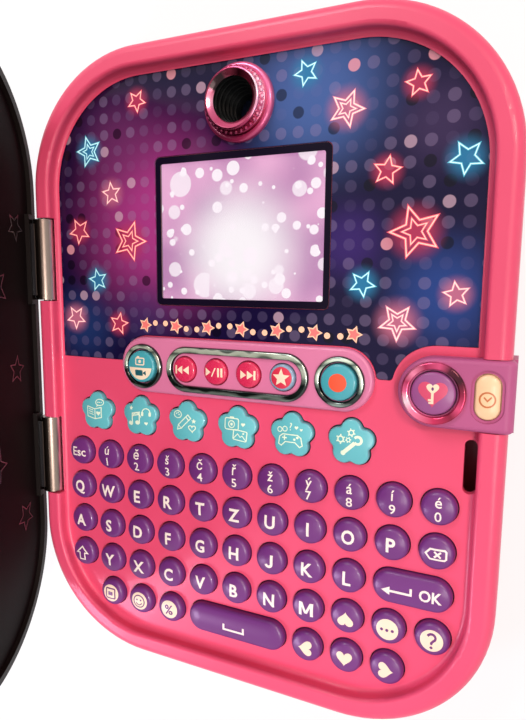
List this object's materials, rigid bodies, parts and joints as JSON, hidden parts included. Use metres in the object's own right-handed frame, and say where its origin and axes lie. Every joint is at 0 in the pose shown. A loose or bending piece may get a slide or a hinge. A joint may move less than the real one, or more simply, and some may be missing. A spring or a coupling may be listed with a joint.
{
  "type": "electronic secret diary",
  "caption": "Book-shaped electronic diary: round-key keyboard, screen and camera in a rimmed base, with a hinged lid and a lock.",
  "frame": {"origin": "centre of the base's flat back, with the diary lying on its back", "axes": "+X right along the key rows, +Y towards the camera end, +Z out of the keyboard face; the hinge is at -X"},
  "size_m": [0.2123, 0.2626, 0.2199],
  "materials": {
    "pink_case": "moulded ABS, semi-gloss",
    "printed_panel": "printed sheet, glossy",
    "clear_window": "clear acrylic with printed border",
    "display": "lit display in a dark frame",
    "metallic_pink": "vacuum metallised pink",
    "black_plastic": "moulded",
    "lens_glass": "coated lens",
    "orchid_plastic": "moulded ABS, semi-gloss",
    "chrome_trim": "plated, polished",
    "satin_metal": "satin metallised",
    "steel": "drawn steel",
    "circuit_board": "glass-fibre board with green mask",
    "silicone": "translucent silicone",
    "cell_wrap": "shrink sleeve",
    "nickel_plate": "nickel plated",
    "black_rubber": "moulded",
    "lid_plastic": "moulded ABS, gloss",
    "lid_gloss": "high gloss",
    "purple_key": "moulded, satin gloss",
    "cream_button": "translucent, lit",
    "teal_button": "moulded, gloss",
    "crimson_button": "moulded, gloss",
    "grey_blue_button": "moulded, gloss"
  },
  "bodies": {
    "base": {"front_shell": "pink_case", "back_shell": "pink_case", "face_panel": "printed_panel", "screen_window": "clear_window", "lcd_module": "display", "camera_ring": "metallic_pink", "camera_barrel": "black_plastic", "camera_lens": "lens_glass", "media_panel": "orchid_plastic", "media_trims": "chrome_trim", "lock_housing": "orchid_plastic", "lock_ring": "metallic_pink", "lock_actuator": "black_plastic", "main_board": "circuit_board", "key_mat": "silicone", "battery_door": "pink_case", "battery_cells": "cell_wrap", "battery_contacts": "nickel_plate", "speaker": "black_plastic", "case_screws": "steel", "rubber_feet": "black_rubber", "hinge_pins": "steel"},
    "lid": {"lid_shell": "lid_plastic", "lid_liner": "lid_gloss", "hinge_barrels": "satin_metal"},
    "bolt": {"lock_bolt": "steel"},
    "esc_key": {"esc_key": "purple_key"},
    "number_keys_left": {"number_keys_left": "purple_key"},
    "number_keys_right": {"number_keys_right": "purple_key"},
    "top_letters_left": {"top_letters_left": "purple_key"},
    "top_letters_right": {"top_letters_right": "purple_key"},
    "backspace_key": {"backspace_key": "purple_key"},
    "middle_letters": {"middle_letters": "purple_key"},
    "ok_key": {"ok_key": "purple_key"},
    "shift_key": {"shift_key": "purple_key"},
    "bottom_letters": {"bottom_letters": "purple_key"},
    "heart_up_key": {"heart_up_key": "purple_key"},
    "menu_key": {"menu_key": "purple_key"},
    "help_key": {"help_key": "purple_key"},
    "save_key": {"save_key": "purple_key"},
    "smiley_key": {"smiley_key": "purple_key"},
    "symbol_key": {"symbol_key": "purple_key"},
    "space_key": {"space_key": "purple_key"},
    "heart_left_key": {"heart_left_key": "purple_key"},
    "heart_down_key": {"heart_down_key": "purple_key"},
    "heart_right_key": {"heart_right_key": "purple_key"},
    "mode_button": {"mode_button": "teal_button"},
    "previous_button": {"previous_button": "crimson_button"},
    "play_button": {"play_button": "crimson_button"},
    "next_button": {"next_button": "crimson_button"},
    "star_button": {"star_button": "grey_blue_button"},
    "record_button": {"record_button": "teal_button"},
    "flower_button_1": {"flower_button_1": "teal_button"},
    "flower_button_2": {"flower_button_2": "teal_button"},
    "flower_button_3": {"flower_button_3": "teal_button"},
    "flower_button_4": {"flower_button_4": "teal_button"},
    "flower_button_5": {"flower_button_5": "teal_button"},
    "flower_button_6": {"flower_button_6": "teal_button"},
    "lock_button": {"lock_button": "purple_key"},
    "clock_button": {"clock_button": "cream_button"}
  },
  "joints": [
    {"name": "lid_hinge", "type": "hinge", "parent": "base", "child": "lid", "pos_m": [-0.0985, 0, 0.0272], "axis": [0, -1, 0], "range_deg": [-70, 60]},
    {"name": "bolt_slide", "type": "slide", "parent": "base", "child": "bolt", "axis": [1, 0, 0], "range_m": [0, 0.005]},
    {"name": "esc_key_press", "type": "slide", "parent": "base", "child": "esc_key", "axis": [0, 0, -1], "range_m": [0, 0.0012], "stiffness_N_per_m": 400, "springref_m": -0.0005, "deforming": ["key_mat"]},
    {"name": "number_keys_left_press", "type": "slide", "parent": "base", "child": "number_keys_left", "axis": [0, 0, -1], "range_m": [0, 0.0012], "stiffness_N_per_m": 400, "springref_m": -0.0005, "deforming": ["key_mat"]},
    {"name": "number_keys_right_press", "type": "slide", "parent": "base", "child": "number_keys_right", "axis": [0, 0, -1], "range_m": [0, 0.0012], "stiffness_N_per_m": 400, "springref_m": -0.0005, "deforming": ["key_mat"]},
    {"name": "top_letters_left_press", "type": "slide", "parent": "base", "child": "top_letters_left", "axis": [0, 0, -1], "range_m": [0, 0.0012], "stiffness_N_per_m": 400, "springref_m": -0.0005, "deforming": ["key_mat"]},
    {"name": "top_letters_right_press", "type": "slide", "parent": "base", "child": "top_letters_right", "axis": [0, 0, -1], "range_m": [0, 0.0012], "stiffness_N_per_m": 400, "springref_m": -0.0005, "deforming": ["key_mat"]},
    {"name": "backspace_key_press", "type": "slide", "parent": "base", "child": "backspace_key", "axis": [0, 0, -1], "range_m": [0, 0.0012], "stiffness_N_per_m": 400, "springref_m": -0.0005, "deforming": ["key_mat"]},
    {"name": "middle_letters_press", "type": "slide", "parent": "base", "child": "middle_letters", "axis": [0, 0, -1], "range_m": [0, 0.0012], "stiffness_N_per_m": 400, "springref_m": -0.0005, "deforming": ["key_mat"]},
    {"name": "ok_key_press", "type": "slide", "parent": "base", "child": "ok_key", "axis": [0, 0, -1], "range_m": [0, 0.0012], "stiffness_N_per_m": 400, "springref_m": -0.0005, "deforming": ["key_mat"]},
    {"name": "shift_key_press", "type": "slide", "parent": "base", "child": "shift_key", "axis": [0, 0, -1], "range_m": [0, 0.0012], "stiffness_N_per_m": 400, "springref_m": -0.0005, "deforming": ["key_mat"]},
    {"name": "bottom_letters_press", "type": "slide", "parent": "base", "child": "bottom_letters", "axis": [0, 0, -1], "range_m": [0, 0.0012], "stiffness_N_per_m": 400, "springref_m": -0.0005, "deforming": ["key_mat"]},
    {"name": "heart_up_key_press", "type": "slide", "parent": "base", "child": "heart_up_key", "axis": [0, 0, -1], "range_m": [0, 0.0012], "stiffness_N_per_m": 400, "springref_m": -0.0005, "deforming": ["key_mat"]},
    {"name": "menu_key_press", "type": "slide", "parent": "base", "child": "menu_key", "axis": [0, 0, -1], "range_m": [0, 0.0012], "stiffness_N_per_m": 400, "springref_m": -0.0005, "deforming": ["key_mat"]},
    {"name": "help_key_press", "type": "slide", "parent": "base", "child": "help_key", "axis": [0, 0, -1], "range_m": [0, 0.0012], "stiffness_N_per_m": 400, "springref_m": -0.0005, "deforming": ["key_mat"]},
    {"name": "save_key_press", "type": "slide", "parent": "base", "child": "save_key", "axis": [0, 0, -1], "range_m": [0, 0.0012], "stiffness_N_per_m": 400, "springref_m": -0.0005, "deforming": ["key_mat"]},
    {"name": "smiley_key_press", "type": "slide", "parent": "base", "child": "smiley_key", "axis": [0, 0, -1], "range_m": [0, 0.0012], "stiffness_N_per_m": 400, "springref_m": -0.0005, "deforming": ["key_mat"]},
    {"name": "symbol_key_press", "type": "slide", "parent": "base", "child": "symbol_key", "axis": [0, 0, -1], "range_m": [0, 0.0012], "stiffness_N_per_m": 400, "springref_m": -0.0005, "deforming": ["key_mat"]},
    {"name": "space_key_press", "type": "slide", "parent": "base", "child": "space_key", "axis": [0, 0, -1], "range_m": [0, 0.0012], "stiffness_N_per_m": 400, "springref_m": -0.0005, "deforming": ["key_mat"]},
    {"name": "heart_left_key_press", "type": "slide", "parent": "base", "child": "heart_left_key", "axis": [0, 0, -1], "range_m": [0, 0.0012], "stiffness_N_per_m": 400, "springref_m": -0.0005, "deforming": ["key_mat"]},
    {"name": "heart_down_key_press", "type": "slide", "parent": "base", "child": "heart_down_key", "axis": [0, 0, -1], "range_m": [0, 0.0012], "stiffness_N_per_m": 400, "springref_m": -0.0005, "deforming": ["key_mat"]},
    {"name": "heart_right_key_press", "type": "slide", "parent": "base", "child": "heart_right_key", "axis": [0, 0, -1], "range_m": [0, 0.0012], "stiffness_N_per_m": 400, "springref_m": -0.0005, "deforming": ["key_mat"]},
    {"name": "mode_button_press", "type": "slide", "parent": "base", "child": "mode_button", "axis": [0, 0, -1], "range_m": [0, 0.0012], "stiffness_N_per_m": 400, "springref_m": -0.0005, "deforming": ["key_mat"]},
    {"name": "previous_button_press", "type": "slide", "parent": "base", "child": "previous_button", "axis": [0, 0, -1], "range_m": [0, 0.0012], "stiffness_N_per_m": 400, "springref_m": -0.0005, "deforming": ["key_mat"]},
    {"name": "play_button_press", "type": "slide", "parent": "base", "child": "play_button", "axis": [0, 0, -1], "range_m": [0, 0.0012], "stiffness_N_per_m": 400, "springref_m": -0.0005, "deforming": ["key_mat"]},
    {"name": "next_button_press", "type": "slide", "parent": "base", "child": "next_button", "axis": [0, 0, -1], "range_m": [0, 0.0012], "stiffness_N_per_m": 400, "springref_m": -0.0005, "deforming": ["key_mat"]},
    {"name": "star_button_press", "type": "slide", "parent": "base", "child": "star_button", "axis": [0, 0, -1], "range_m": [0, 0.0012], "stiffness_N_per_m": 400, "springref_m": -0.0005, "deforming": ["key_mat"]},
    {"name": "record_button_press", "type": "slide", "parent": "base", "child": "record_button", "axis": [0, 0, -1], "range_m": [0, 0.0012], "stiffness_N_per_m": 400, "springref_m": -0.0005, "deforming": ["key_mat"]},
    {"name": "flower_button_1_press", "type": "slide", "parent": "base", "child": "flower_button_1", "axis": [0, 0, -1], "range_m": [0, 0.0012], "stiffness_N_per_m": 400, "springref_m": -0.0005, "deforming": ["key_mat"]},
    {"name": "flower_button_2_press", "type": "slide", "parent": "base", "child": "flower_button_2", "axis": [0, 0, -1], "range_m": [0, 0.0012], "stiffness_N_per_m": 400, "springref_m": -0.0005, "deforming": ["key_mat"]},
    {"name": "flower_button_3_press", "type": "slide", "parent": "base", "child": "flower_button_3", "axis": [0, 0, -1], "range_m": [0, 0.0012], "stiffness_N_per_m": 400, "springref_m": -0.0005, "deforming": ["key_mat"]},
    {"name": "flower_button_4_press", "type": "slide", "parent": "base", "child": "flower_button_4", "axis": [0, 0, -1], "range_m": [0, 0.0012], "stiffness_N_per_m": 400, "springref_m": -0.0005, "deforming": ["key_mat"]},
    {"name": "flower_button_5_press", "type": "slide", "parent": "base", "child": "flower_button_5", "axis": [0, 0, -1], "range_m": [0, 0.0012], "stiffness_N_per_m": 400, "springref_m": -0.0005, "deforming": ["key_mat"]},
    {"name": "flower_button_6_press", "type": "slide", "parent": "base", "child": "flower_button_6", "axis": [0, 0, -1], "range_m": [0, 0.0012], "stiffness_N_per_m": 400, "springref_m": -0.0005, "deforming": ["key_mat"]},
    {"name": "lock_button_press", "type": "slide", "parent": "base", "child": "lock_button", "axis": [0, 0, -1], "range_m": [0, 0.0012], "stiffness_N_per_m": 400, "springref_m": -0.0005, "deforming": ["key_mat"]},
    {"name": "clock_button_press", "type": "slide", "parent": "base", "child": "clock_button", "axis": [0, 0, -1], "range_m": [0, 0.0012], "stiffness_N_per_m": 400, "springref_m": -0.0005, "deforming": ["key_mat"]}
  ]
}
